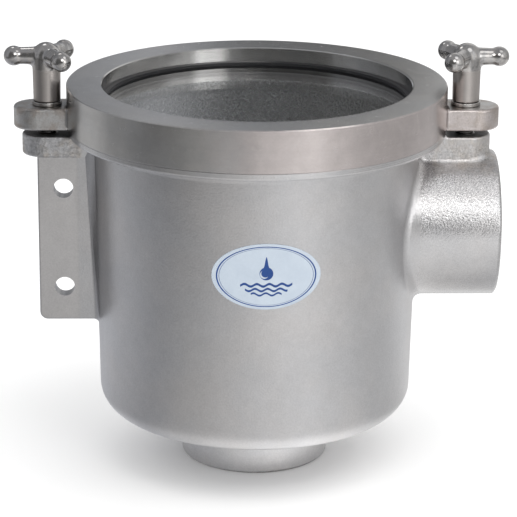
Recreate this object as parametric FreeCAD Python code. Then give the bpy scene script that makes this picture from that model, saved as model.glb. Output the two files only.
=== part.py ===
import FreeCAD, Part
import math
import os
from FreeCAD import Vector as V

# Sea water strainer: a cast stainless bowl with a side inlet (+X), a bottom
# outlet, a bulkhead plate (-X), a ring cover with a sight window held by two
# three-lobed hand knobs, and a lift-out basket.
# Frame: +Z up along the bowl's axis, origin at the centre of the bottom
# spigot's end face, +X towards the inlet. All lengths in millimetres.

# ---- driving dimensions -------------------------------------------------
Z_TOP = 195.0            # top face of the cover ring
RING_R = 95.0            # cover ring, outside radius
RING_H = 21.0            # cover ring, height
RING_BORE_R = 77.3       # cover ring, bore over the window
RING_LIP_H = 7.6         # depth of that bore
RABBET_R = 84.7          # recess under the lip for the window
RING_CHAMFER = 0.5

GASKET_T = 1.5           # gasket between lip and window
GASKET_RI = 75.3
GASKET_RO = 84.2
WINDOW_R = 84.2
WINDOW_T = 10.0
SEAL_T = 1.9             # seal between window and bowl
SEAL_RI = 77.0
SEAL_RO = 83.6

MOUTH_R = 75.3           # machined mouth of the bowl
LAND_R = 84.0            # raised seal land
FLANGE_R = 94.5          # bowl flange under the cover ring
FLANGE_GAP = 0.4
FLANGE_BOT = 170.4
FLANGE_EDGE_R = 1.4
WALL_R_TOP = 82.0        # bowl wall, outside, at z 164
WALL_R_BOT = 79.56       # bowl wall, outside, at the corner
CORNER_R = 13.2
BOWL_BOT = 25.8          # underside of the bowl
WALL_T = 4.6
FLOOR_T = 5.2

SPIGOT_R = 37.3          # bottom outlet boss
G2_MINOR_R = 28.33       # G 2 pipe thread, core radius
PORT_THREAD_L = 24.0
PORT_CORE_R = 27.3       # bore behind the thread
PORT_R = 36.7            # side inlet boss
PORT_Z = 122.5
PORT_END = 120.8
PORT_FILLET = 4.5

STUD_X = 104.6           # stud axes
STUD_R = 5.0             # M10
STUD_PITCH = 1.5
LUG_HOLE_R = 5.5
COVER_LUG_HW = 11.9      # cover lugs
COVER_LUG_END = 121.3
COVER_LUG_TOP = 183.8
COVER_LUG_BOT = 172.7
BODY_LUG_HW = 11.7       # bowl lugs
BODY_LUG_END = 117.3
BODY_LUG_TOP = 169.6
BODY_LUG_BOT = 159.0

PLATE_X = -109.5         # bulkhead plate, free edge
PLATE_Y0, PLATE_Y1 = -10.7, -2.2
PLATE_BOT = 73.8
PLATE_CORNER_R = 4.0
PLATE_HOLE_R = 5.0
PLATE_HOLE_X = -96.7
PLATE_HOLE_Z = (143.0, 91.4)

WASHER_R = 7.4
WASHER_RI = 5.3
WASHER_T = 2.0
STEM_R_BOT = 6.75        # hand knob
STEM_R_TOP = 7.0
KNOB_BORE_R = 5.05
KNOB_BORE_TOP = 205.0
ARM_Z = 208.4
ARM_R = 4.05
BALL_R = 4.95
BALL_X = 16.1
HUB_TOP = 215.2
STUD_BOT = 160.5
STUD_TOP = 202.5

LEDGE_Z = 86.0           # ledge inside the bowl that carries the basket
LEDGE_RI = 69.0
BASKET_R = 66.5
BASKET_T = 1.0
BASKET_BOT = 40.0
RIM_RO = 73.4
RIM_T = 2.0
HOLE_R = 2.5             # perforations
HOLE_PITCH = 8.6
HANDLE_R = 57.0          # bail, radius of its wire's centre line
BAIL_ELBOW_R = 3.5
WIRE_R = 2.0
HANDLE_Z = 80.0

LABEL_X, LABEL_Z = 2.9, 119.6
LABEL_A, LABEL_B = 26.2, 16.6
LABEL_T = 0.18


# ---- helpers -------------------------------------------------------------
def wall_r(z, off=0.0):
    """Outside radius of the tapered bowl wall at height z."""
    z0, z1 = BOWL_BOT + CORNER_R, 164.0
    return WALL_R_BOT + (WALL_R_TOP - WALL_R_BOT) * (z - z0) / (z1 - z0) + off


def ring(ri, ro, z0, z1):
    s = Part.makeCylinder(ro, z1 - z0, V(0, 0, z0))
    return s.cut(Part.makeCylinder(ri, z1 - z0 + 2, V(0, 0, z0 - 1))) if ri > 0 else s


def revolve(edges):
    face = Part.Face(Part.Wire(edges))
    return face.revolve(V(0, 0, 0), V(0, 0, 1), 360)


def line(a, b):
    return Part.makeLine(V(a[0], 0, a[1]), V(b[0], 0, b[1]))


def arc(a, m, b):
    return Part.Arc(V(a[0], 0, a[1]), V(m[0], 0, m[1]), V(b[0], 0, b[1])).toShape()


def arc_c(c, r, a0, a1):
    """Arc in the XZ plane about c, angles in degrees."""
    p = [(c[0] + r * math.cos(math.radians(t)), c[1] + r * math.sin(math.radians(t)))
         for t in (a0, (a0 + a1) / 2.0, a1)]
    return arc(*p), p[0], p[2]


def rounded(points):
    """Closed XZ wire through (x, z, r) points, each corner rounded by r."""
    n = len(points)
    segs, ends = [], []
    for i in range(n):
        x0, z0, _ = points[i - 1]
        x1, z1, r = points[i]
        x2, z2, _ = points[(i + 1) % n]
        u = V(x0 - x1, 0, z0 - z1)
        w = V(x2 - x1, 0, z2 - z1)
        u.normalize()
        w.normalize()
        p = V(x1, 0, z1)
        if r <= 0:
            ends.append((p, None, p))
            continue
        half = math.acos(max(-1.0, min(1.0, u.dot(w)))) / 2.0
        t = r / math.tan(half)
        a, b = p + u * t, p + w * t
        bis = u + w
        bis.normalize()
        c = p + bis * (r / math.sin(half))
        m = c - bis * r
        ends.append((a, m, b))
    for i in range(n):
        a, m, b = ends[i]
        if m is not None:
            segs.append(Part.Arc(a, m, b).toShape())
        nxt = ends[(i + 1) % n][0]
        if b.distanceToPoint(nxt) > 1e-6:
            segs.append(Part.makeLine(b, nxt))
    return segs


def stadium(x_in, x_end, hw, z0, z1):
    """Bar along X with a round outer end; x_in, x_end share a sign."""
    s = 1.0 if x_end > 0 else -1.0
    xc = x_end - s * hw
    lo, hi = min(x_in, xc), max(x_in, xc)
    b = Part.makeBox(hi - lo, 2 * hw, z1 - z0, V(lo, -hw, z0))
    return b.fuse(Part.makeCylinder(hw, z1 - z0, V(xc, 0, z0))).removeSplitter()


def pick(shape, test):
    return [e for e in shape.Edges if test(e)]


def mid(e):
    return e.valueAt((e.FirstParameter + e.LastParameter) / 2.0)


def try_fillet(shape, edges, radii, name):
    for r in radii:
        try:
            s = shape.makeFillet(r, edges)
            if s.isValid() and len(s.Solids) == 1 and s.Volume > 0:
                print("fillet", name, r, "edges", len(edges))
                return s
        except Exception:
            pass
    print("fillet", name, "left sharp, edges", len(edges))
    return shape


def one(shape, name):
    shape = shape.removeSplitter()
    if shape.ShapeType != "Solid" and len(shape.Solids) == 1:
        shape = shape.Solids[0]
    assert len(shape.Solids) == 1 and shape.isValid(), (name, len(shape.Solids), shape.isValid())
    return shape


parts = {}


# ---- strainer body (one casting) -----------------------------------------
def make_body():
    wb = wall_r(BOWL_BOT)
    outer = rounded([
        (0.0, 0.0, 0),
        (SPIGOT_R, 0.0, 1.2),
        (SPIGOT_R, BOWL_BOT, 3.0),
        (wb, BOWL_BOT, CORNER_R),
        (wall_r(FLANGE_BOT), FLANGE_BOT, 5.0),
        (FLANGE_R, FLANGE_BOT, FLANGE_EDGE_R),
        (FLANGE_R, Z_TOP - RING_H - FLANGE_GAP, 0.4),
        (LAND_R, Z_TOP - RING_H - FLANGE_GAP, 0),
        (LAND_R, Z_TOP - RING_H, 0),
        (0.0, Z_TOP - RING_H, 0),
    ])
    b = revolve(outer)

    port = Part.makeCylinder(PORT_R, PORT_END, V(0, 0, PORT_Z), V(1, 0, 0))
    outer_rim = pick(port, lambda e: abs(mid(e).x - PORT_END) < 1e-3 and e.Length > 100)
    port = port.makeFillet(1.8, outer_rim)
    b = b.fuse(port)
    seam = pick(b, lambda e: abs(math.hypot(mid(e).y, mid(e).z - PORT_Z) - PORT_R) < 0.05
                and 60 < mid(e).x < 90)
    b = try_fillet(b, seam, (PORT_FILLET, 4.0, 3.0), "port to wall")

    # right lug: a block standing on the inlet boss
    lug_r = stadium(70.0, BODY_LUG_END, BODY_LUG_HW, PORT_Z + 20, BODY_LUG_TOP)
    # left lug and bulkhead plate
    lug_l = stadium(-70.0, -BODY_LUG_END, BODY_LUG_HW, BODY_LUG_BOT, BODY_LUG_TOP)
    plate = Part.makeBox(-70.0 - PLATE_X, PLATE_Y1 - PLATE_Y0, BODY_LUG_BOT + 3 - PLATE_BOT,
                         V(PLATE_X, PLATE_Y0, PLATE_BOT))
    corner = pick(plate, lambda e: abs(mid(e).x - PLATE_X) < 1e-3 and abs(mid(e).z - PLATE_BOT) < 1e-3
                  and abs(e.Length - (PLATE_Y1 - PLATE_Y0)) < 1e-3)
    plate = plate.makeFillet(PLATE_CORNER_R, corner)
    edge = pick(plate, lambda e: mid(e).x < -75 and mid(e).z < BODY_LUG_BOT + 2
                and (abs(mid(e).y - PLATE_Y0) < 1e-3 or abs(mid(e).y - PLATE_Y1) < 1e-3))
    plate = try_fillet(plate, edge, (0.9, 0.6), "plate edge")

    for lug, nm in ((lug_r, "right lug"), (lug_l, "left lug")):
        top = pick(lug, lambda e: abs(mid(e).z - BODY_LUG_TOP) < 1e-3 and abs(mid(e).x) > 75)
        low = pick(lug, lambda e: nm == "left lug" and abs(mid(e).z - BODY_LUG_BOT) < 1e-3
                   and abs(mid(e).x) > 75)
        f = try_fillet(lug, top + low, (1.2, 0.8), nm)
        if nm == "right lug":
            lug_r = f
        else:
            lug_l = f
    # the lugs run up into the flange where they pass under it
    riser = Part.makeBox(190.0, 2 * BODY_LUG_HW, 14.0, V(-95.0, -BODY_LUG_HW, BODY_LUG_TOP - 12.0))
    riser = riser.common(Part.makeCylinder(FLANGE_R - 1.6, 30, V(0, 0, 150)))
    b = b.fuse(lug_r)
    corner_r = pick(b, lambda e: 80 < mid(e).x < BODY_LUG_END + 1 and PORT_Z + 21 < mid(e).z < BODY_LUG_TOP - 3
                    and e.Length > 6 and abs(math.hypot(mid(e).y, mid(e).z - PORT_Z) - PORT_R) < 0.3)
    b = try_fillet(b, corner_r, (2.6, 2.0, 1.4, 1.0), "right lug to port")
    b = b.fuse([lug_l, plate])
    root = pick(b, lambda e: mid(e).x < -60 and PLATE_BOT - 1 < mid(e).z < BODY_LUG_BOT - 2
                and abs(math.hypot(mid(e).x, mid(e).y) - wall_r(mid(e).z)) < 0.6
                and e.Length > 20)
    b = try_fillet(b, root, (3.0, 2.4, 1.6), "plate to wall")
    b = b.fuse(riser).removeSplitter()

    # inside: chamber, ledge for the basket, machined mouth
    zi = BOWL_BOT + FLOOR_T
    inner = rounded([
        (0.0, zi, 0),
        (WALL_R_BOT - WALL_T, zi, 9.0),
        (wall_r(LEDGE_Z - 9.0, -WALL_T), LEDGE_Z - 9.0, 0),
        (LEDGE_RI, LEDGE_Z - 3.0, 1.0),
        (LEDGE_RI, LEDGE_Z, 0.3),
        (wall_r(LEDGE_Z, -WALL_T), LEDGE_Z, 0.6),
        (wall_r(164.0, -WALL_T), 164.0, 3.0),
        (MOUTH_R, 167.5, 1.0),
        (MOUTH_R, Z_TOP - RING_H + 1, 0),
        (0.0, Z_TOP - RING_H + 1, 0),
    ])
    b = b.cut(revolve(inner))
    edge = pick(b, lambda e: abs(mid(e).z - (Z_TOP - RING_H)) < 1e-3 and e.Length < 2 * math.pi * (MOUTH_R + 1)
                and e.Length > 300)
    if edge:
        try:
            b = b.makeChamfer(0.4, edge)
        except Exception:
            print("mouth chamfer left off")

    # bottom outlet: thread core, then the plain bore
    b = b.cut(Part.makeCylinder(G2_MINOR_R, PORT_THREAD_L + 0.001, V(0, 0, -0.001)))
    b = b.cut(Part.makeCylinder(PORT_CORE_R, 20, V(0, 0, PORT_THREAD_L - 1)))
    b = b.cut(Part.makeCone(G2_MINOR_R + 1.6, G2_MINOR_R - 0.4, 2.0, V(0, 0, -0.001)))
    # side inlet
    b = b.cut(Part.makeCylinder(PORT_CORE_R, PORT_END - 10, V(30, 0, PORT_Z), V(1, 0, 0))
              .common(Part.makeBox(PORT_END - 30 - PORT_THREAD_L + 1, 80, 80, V(30, -40, PORT_Z - 40))))
    b = b.cut(Part.makeCylinder(G2_MINOR_R, PORT_THREAD_L + 1, V(PORT_END - PORT_THREAD_L, 0, PORT_Z), V(1, 0, 0)))
    b = b.cut(Part.makeCone(G2_MINOR_R - 0.4, G2_MINOR_R + 1.6, 2.0, V(PORT_END - 2.0 + 0.001, 0, PORT_Z), V(1, 0, 0)))
    # tapped holes for the studs, and the plate's two fixing holes
    for sx in (-1, 1):
        b = b.cut(Part.makeCylinder(STUD_R + 0.02, 20, V(sx * STUD_X, 0, STUD_BOT)))
    for z in PLATE_HOLE_Z:
        b = b.cut(Part.makeCylinder(PLATE_HOLE_R, 40, V(PLATE_HOLE_X, -20, z), V(0, 1, 0)))
    return one(b, "strainer_body")


# ---- cover ring (one casting) --------------------------------------------
def make_cover():
    zb = Z_TOP - RING_H
    zl = Z_TOP - RING_LIP_H
    c = RING_CHAMFER
    r = revolve([line(*p) for p in (
        ((RING_BORE_R, zl), (RING_BORE_R, Z_TOP - c)),
        ((RING_BORE_R, Z_TOP - c), (RING_BORE_R + c, Z_TOP)),
        ((RING_BORE_R + c, Z_TOP), (RING_R - c, Z_TOP)),
        ((RING_R - c, Z_TOP), (RING_R, Z_TOP - c)),
        ((RING_R, Z_TOP - c), (RING_R, zb + c)),
        ((RING_R, zb + c), (RING_R - c, zb)),
        ((RING_R - c, zb), (RABBET_R, zb)),
        ((RABBET_R, zb), (RABBET_R, zl)),
        ((RABBET_R, zl), (RING_BORE_R, zl)),
    )])
    for sx in (-1, 1):
        lug = stadium(sx * 88.0, sx * COVER_LUG_END, COVER_LUG_HW, COVER_LUG_BOT, COVER_LUG_TOP)
        rim = pick(lug, lambda e: abs(mid(e).x) > 95 and (abs(mid(e).z - COVER_LUG_TOP) < 1e-3
                                                         or abs(mid(e).z - COVER_LUG_BOT) < 1e-3))
        lug = try_fillet(lug, rim, (1.4, 1.0), "cover lug")
        lug = lug.cut(Part.makeCylinder(RING_R, 6.0, V(0, 0, zb - 6.0)))
        lug = lug.cut(Part.makeCylinder(RABBET_R + 2.0, 40, V(0, 0, 160)))
        r = r.fuse(lug)
    r = r.removeSplitter()
    joint = pick(r, lambda e: abs(math.hypot(mid(e).x, mid(e).y) - RING_R) < 0.02 and abs(abs(mid(e).y) - COVER_LUG_HW) < 0.2
                 and e.Length > 5 and COVER_LUG_BOT + 1 < mid(e).z < COVER_LUG_TOP)
    r = try_fillet(r, joint, (1.6, 1.0, 0.6), "cover lug to ring")
    for sx in (-1, 1):
        r = r.cut(Part.makeCylinder(LUG_HOLE_R, 30, V(sx * STUD_X, 0, 165)))
    return one(r, "cover_ring")


# ---- hand knob -----------------------------------------------------------
def make_knob(x, first_deg):
    z0 = COVER_LUG_TOP + WASHER_T
    zc = HUB_TOP - STEM_R_TOP
    k = Part.makeCylinder(STEM_R_BOT, 0.5, V(0, 0, z0))
    k = k.makeChamfer(0.45, [e for e in k.Edges if abs(mid(e).z - z0) < 1e-6 and e.Length > 5])
    k = k.fuse(Part.makeCone(STEM_R_BOT, STEM_R_TOP, zc - z0 - 0.5, V(0, 0, z0 + 0.5)))
    k = k.fuse(Part.makeSphere(STEM_R_TOP, V(0, 0, zc)))
    arms = []
    for i in range(3):
        # arm: a slightly tapered bar that swells into a ball at its end
        a = Part.makeCone(4.75, ARM_R - 0.1, BALL_X, V(0, 0, 0), V(1, 0, 0))
        a = a.fuse(Part.makeSphere(BALL_R, V(BALL_X, 0, 0), V(1, 0, 0)))
        neck = pick(a, lambda e: 8 < mid(e).x < BALL_X - 1 and e.Length > 18)
        a = try_fillet(a, neck, (3.2, 2.0), "ball neck")
        a.rotate(V(0, 0, 0), V(0, 0, 1), first_deg + 120.0 * i)
        a.translate(V(0, 0, ARM_Z))
        arms.append(a)
    for a in arms:
        k = k.fuse(a)
    k = k.removeSplitter()

    def is_joint(e):
        m = mid(e)
        return 2.0 < math.hypot(m.x, m.y) < 8.5 and m.z > ARM_Z - 7 and e.Length > 1.0

    k = try_fillet(k, pick(k, is_joint), (1.8, 1.4, 1.0, 0.7, 0.5), "knob arms")
    k.translate(V(x, 0, 0))
    k = k.cut(Part.makeCylinder(KNOB_BORE_R, KNOB_BORE_TOP - z0 + 1, V(x, 0, z0 - 1)))
    return one(k, "knob")


# ---- basket --------------------------------------------------------------
def make_basket():
    zt = LEDGE_Z + RIM_T
    wall = ring(BASKET_R - BASKET_T, BASKET_R, BASKET_BOT, LEDGE_Z)
    n = int(2 * math.pi * BASKET_R / HOLE_PITCH)
    rows = 4
    dz = HOLE_PITCH * math.sqrt(3) / 2.0
    z_first = BASKET_BOT + 11.0
    cutters = []
    for j in range(rows):
        for i in range(n):
            a = 2 * math.pi * (i + 0.5 * (j % 2)) / n
            cutters.append(Part.makeCylinder(HOLE_R, 6, V((BASKET_R - 4) * math.cos(a), (BASKET_R - 4) * math.sin(a),
                                                          z_first + j * dz), V(math.cos(a), math.sin(a), 0)))
    wall = wall.cut(Part.makeCompound(cutters))
    parts["basket_wall"] = one(wall, "basket_wall")

    floor = Part.makeCylinder(BASKET_R - BASKET_T, 1.2, V(0, 0, BASKET_BOT))
    cutters = []
    rmax = BASKET_R - 8.0
    k = int(rmax / dz) + 1
    for j in range(-k, k + 1):
        for i in range(-9, 10):
            x = (i + 0.5 * (j % 2)) * HOLE_PITCH
            y = j * dz
            if math.hypot(x, y) < rmax:
                cutters.append(Part.makeCylinder(HOLE_R, 4, V(x, y, BASKET_BOT - 1)))
    floor = floor.cut(Part.makeCompound(cutters))
    parts["basket_floor"] = one(floor, "basket_floor")
    print("perforations", n * rows, len(cutters))

    parts["basket_rim"] = one(ring(BASKET_R - BASKET_T, RIM_RO, LEDGE_Z, zt), "basket_rim")
    foot = ring(BASKET_R, BASKET_R + 1.2, BASKET_BOT - 2.0, BASKET_BOT + 5.0)
    parts["basket_foot_band"] = one(foot, "basket_foot_band")

    # ears for the bail, riveted to the wall
    rivets = []
    for sx, nm in ((-1, "left"), (1, "right")):
        x0 = sx * (BASKET_R - BASKET_T - 3.4)
        tab = Part.makeBox(3.4 + 2, 13.0, 13.0, V(min(x0, x0 + sx * 5.4), -6.5, HANDLE_Z - 8.0))
        tab = tab.common(Part.makeCylinder(BASKET_R - BASKET_T, 60, V(0, 0, 50)))
        lo = pick(tab, lambda e: abs(abs(mid(e).y) - 6.5) < 1e-3 and e.Length < 6
                  and abs(mid(e).z - (HANDLE_Z - 8.0)) < 1e-3)
        tab = try_fillet(tab, lo, (3.0, 2.0), "ear")
        tab = tab.cut(Part.makeCylinder(WIRE_R + 0.1, 30, V(sx * 50, 0, HANDLE_Z), V(sx, 0, 0)))
        for sy in (-1, 1):
            a = math.atan2(sy * 4.0, sx * BASKET_R)
            d = V(math.cos(a), math.sin(a), 0)
            zr = HANDLE_Z - 5.6
            p0 = V(0, 0, zr) + d * (BASKET_R - BASKET_T - 3.0)
            shank = Part.makeCylinder(1.0, 4.3, p0, d)
            tab = tab.cut(shank)
            head = Part.makeCylinder(1.9, 0.9, V(0, 0, zr) + d * (BASKET_R + 0.02), d)
            rivets.append(Part.makeCylinder(1.0, 4.0, p0 + d * 0.02, d).fuse(head).removeSplitter())
            parts["basket_wall"] = parts["basket_wall"].cut(shank)
        parts["basket_%s_ear" % nm] = one(tab, nm + " ear")
    parts["basket_wall"] = one(parts["basket_wall"], "basket_wall")
    parts["ear_rivets"] = Part.makeCompound([r.Solids[0] for r in rivets])

    # bail: half a ring folded down towards -Y, ends turned out through the ears
    re = BAIL_ELBOW_R
    disc = Part.Face(Part.Wire([Part.makeCircle(WIRE_R, V(HANDLE_R, -re, HANDLE_Z), V(0, 1, 0))]))
    half = disc.copy()
    half.rotate(V(0, -re, HANDLE_Z), V(0, 0, 1), 180)
    bits = [half.revolve(V(0, -re, HANDLE_Z), V(0, 0, 1), 180)]
    for sx in (-1, 1):
        end = Part.Face(Part.Wire([Part.makeCircle(WIRE_R, V(sx * HANDLE_R, -re, HANDLE_Z), V(0, 1, 0))]))
        bits.append(end.revolve(V(sx * (HANDLE_R + re), -re, HANDLE_Z), V(0, 0, 1), -90.0 * sx))
        bits.append(Part.makeCylinder(WIRE_R, BASKET_R - BASKET_T - 0.5 - HANDLE_R - re,
                                      V(sx * (HANDLE_R + re), 0, HANDLE_Z), V(sx, 0, 0)))
    for q in bits:
        assert q.isValid() and q.Volume > 0, q.Volume
    bail = bits[0]
    for q in bits[1:]:
        bail = bail.fuse(q)
    parts["basket_handle"] = one(bail, "basket_handle")


# ---- build ---------------------------------------------------------------
parts["strainer_body"] = make_body()
parts["cover_ring"] = make_cover()

z = Z_TOP - RING_LIP_H
parts["window_gasket"] = ring(GASKET_RI, GASKET_RO, z - GASKET_T, z)
z -= GASKET_T
win = Part.makeCylinder(WINDOW_R, WINDOW_T, V(0, 0, z - WINDOW_T))
parts["sight_window"] = win.makeChamfer(0.3, [e for e in win.Edges if e.Length > 300])
z -= WINDOW_T
parts["bowl_seal"] = ring(SEAL_RI, SEAL_RO, z - SEAL_T, z)

for sx, nm, deg in ((-1, "left", 180.0), (1, "right", 1.0)):
    stud = Part.makeCylinder(STUD_R, STUD_TOP - STUD_BOT, V(sx * STUD_X, 0, STUD_BOT))
    stud = stud.makeChamfer(0.8, [e for e in stud.Edges if abs(mid(e).z - STUD_TOP) < 1e-3 and e.Length > 5])
    parts["%s_stud" % nm] = stud
    w = ring(WASHER_RI, WASHER_R, COVER_LUG_TOP, COVER_LUG_TOP + WASHER_T)
    w = w.makeFillet(0.35, [e for e in w.Edges if abs(e.Length - 2 * math.pi * WASHER_R) < 0.1])
    w.translate(V(sx * STUD_X, 0, 0))
    parts["%s_washer" % nm] = w
    parts["%s_hand_knob" % nm] = make_knob(sx * STUD_X, deg)

make_basket()

# oval label wrapped on the front of the bowl
za, zb = LABEL_Z - 25.0, LABEL_Z + 25.0
skin = Part.makeCone(wall_r(za, LABEL_T), wall_r(zb, LABEL_T), zb - za, V(0, 0, za)).cut(
    Part.makeCone(wall_r(za), wall_r(zb), zb - za, V(0, 0, za)))
e = Part.Ellipse(V(0, 0, 0), LABEL_A, LABEL_B).toShape()
e.rotate(V(0, 0, 0), V(1, 0, 0), 90)
e.translate(V(LABEL_X, -60, LABEL_Z))
prism = Part.Face(Part.Wire([e])).extrude(V(0, -40, 0))
parts["label"] = one(skin.common(prism), "label")

os.makedirs("parts", exist_ok=True)
for f in os.listdir("parts"):
    if f.endswith(".step"):
        os.remove(os.path.join("parts", f))
for name, shape in parts.items():
    shape.exportStep(os.path.join("parts", name + ".step"))
    bb = shape.BoundBox
    print("%-18s solids %d vol %9.1f  x %.1f..%.1f y %.1f..%.1f z %.1f..%.1f" % (
        name, len(shape.Solids), shape.Volume, bb.XMin, bb.XMax, bb.YMin, bb.YMax, bb.ZMin, bb.ZMax))
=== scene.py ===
import math

import bpy
from mathutils import Matrix, Vector


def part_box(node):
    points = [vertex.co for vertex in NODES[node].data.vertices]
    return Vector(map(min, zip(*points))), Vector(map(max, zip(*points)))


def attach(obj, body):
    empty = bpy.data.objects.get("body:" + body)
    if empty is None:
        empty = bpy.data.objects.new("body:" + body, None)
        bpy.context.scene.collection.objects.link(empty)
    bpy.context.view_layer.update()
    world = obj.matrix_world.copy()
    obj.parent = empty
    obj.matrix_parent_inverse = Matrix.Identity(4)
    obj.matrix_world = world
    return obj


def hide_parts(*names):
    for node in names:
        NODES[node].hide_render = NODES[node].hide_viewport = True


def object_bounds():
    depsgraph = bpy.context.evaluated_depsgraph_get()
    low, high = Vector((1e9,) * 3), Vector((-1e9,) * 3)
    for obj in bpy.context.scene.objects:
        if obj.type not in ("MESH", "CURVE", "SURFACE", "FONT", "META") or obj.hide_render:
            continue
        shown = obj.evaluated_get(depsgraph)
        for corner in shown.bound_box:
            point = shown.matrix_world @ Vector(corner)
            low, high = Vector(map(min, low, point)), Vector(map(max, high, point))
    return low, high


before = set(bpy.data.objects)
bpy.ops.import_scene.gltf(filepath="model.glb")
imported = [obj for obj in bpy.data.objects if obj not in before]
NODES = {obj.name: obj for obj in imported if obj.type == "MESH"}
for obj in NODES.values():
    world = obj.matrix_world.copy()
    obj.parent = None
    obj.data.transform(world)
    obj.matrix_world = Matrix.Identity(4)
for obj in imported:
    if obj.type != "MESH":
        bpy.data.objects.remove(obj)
CAD_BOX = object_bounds()
SC = bpy.context.scene
MM = 0.001


# ---------------------------------------------------------------- node helper
class Tree:
    """Small writer for shader node trees. A value may be a number, a tuple or another node's socket."""

    def __init__(self, tree):
        self.t = tree
        self.t.nodes.clear()

    def node(self, kind, **props):
        n = self.t.nodes.new(kind)
        for k, v in props.items():
            setattr(n, k, v)
        return n

    def put(self, sock, value):
        if isinstance(value, bpy.types.NodeSocket):
            self.t.links.new(value, sock)
        elif value is not None:
            sock.default_value = value

    def m(self, op, a, b=None, c=None, clamp=False):
        n = self.node("ShaderNodeMath", operation=op, use_clamp=clamp)
        for s, v in zip(n.inputs, (a, b, c)):
            self.put(s, v)
        return n.outputs[0]

    def add(self, a, b):
        return self.m("ADD", a, b)

    def sub(self, a, b):
        return self.m("SUBTRACT", a, b)

    def mul(self, a, b):
        return self.m("MULTIPLY", a, b)

    def div(self, a, b):
        return self.m("DIVIDE", a, b)

    def inv(self, a):
        return self.m("SUBTRACT", 1.0, a, clamp=True)

    def both(self, *masks):
        out = masks[0]
        for k in masks[1:]:
            out = self.mul(out, k)
        return out

    def either(self, *masks):
        out = masks[0]
        for k in masks[1:]:
            out = self.m("MAXIMUM", out, k)
        return out

    def ramp01(self, x, lo, hi):
        """0 below lo, 1 above hi, smooth between. With hi < lo it runs the other way."""
        n = self.node("ShaderNodeMapRange", interpolation_type="SMOOTHSTEP")
        flip = hi < lo
        a, b = (hi, lo) if flip else (lo, hi)
        self.put(n.inputs["Value"], x)
        self.put(n.inputs["From Min"], a)
        self.put(n.inputs["From Max"], b)
        self.put(n.inputs["To Min"], 1.0 if flip else 0.0)
        self.put(n.inputs["To Max"], 0.0 if flip else 1.0)
        return n.outputs[0]

    def lerp(self, f, a, b):
        n = self.node("ShaderNodeMix", data_type="FLOAT", clamp_factor=True)
        self.put(n.inputs[0], f)
        self.put(n.inputs[2], a)
        self.put(n.inputs[3], b)
        return n.outputs[0]

    def mixc(self, f, a, b, mode="MIX"):
        n = self.node("ShaderNodeMix", data_type="RGBA", blend_type=mode, clamp_factor=True)
        self.put(n.inputs[0], f)
        self.put(n.inputs[6], a)
        self.put(n.inputs[7], b)
        return n.outputs[2]

    def grey(self, v):
        n = self.node("ShaderNodeCombineColor")
        for s in n.inputs:
            self.put(s, v)
        return n.outputs[0]

    def tint(self, col, v):
        """colour col times value v"""
        return self.mixc(1.0, col, self.grey(v), "MULTIPLY")

    def vec(self, x, y, z):
        n = self.node("ShaderNodeCombineXYZ")
        for s, v in zip(n.inputs, (x, y, z)):
            self.put(s, v)
        return n.outputs[0]

    def scale(self, v, s):
        n = self.node("ShaderNodeVectorMath", operation="MULTIPLY")
        self.put(n.inputs[0], v)
        self.put(n.inputs[1], s if isinstance(s, tuple) else (s, s, s))
        return n.outputs[0]

    def noise(self, v, scale, detail=3.0, rough=0.55, dist=0.0, seed=0.0):
        n = self.node("ShaderNodeTexNoise", noise_dimensions="4D")
        self.put(n.inputs["Vector"], v)
        self.put(n.inputs["W"], seed)
        self.put(n.inputs["Scale"], scale)
        self.put(n.inputs["Detail"], detail)
        self.put(n.inputs["Roughness"], rough)
        self.put(n.inputs["Distortion"], dist)
        return n.outputs["Fac"]

    def cells(self, v, scale, rand=1.0, feature="F1"):
        n = self.node("ShaderNodeTexVoronoi", feature=feature)
        self.put(n.inputs["Vector"], v)
        self.put(n.inputs["Scale"], scale)
        self.put(n.inputs["Randomness"], rand)
        return n.outputs["Distance"]

    def bump(self, height, depth, normal=None):
        """height runs 0 to 1 over depth metres"""
        n = self.node("ShaderNodeBump")
        self.put(n.inputs["Height"], height)
        n.inputs["Strength"].default_value = 1.0
        n.inputs["Distance"].default_value = depth
        self.put(n.inputs["Normal"], normal)
        return n.outputs[0]


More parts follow.
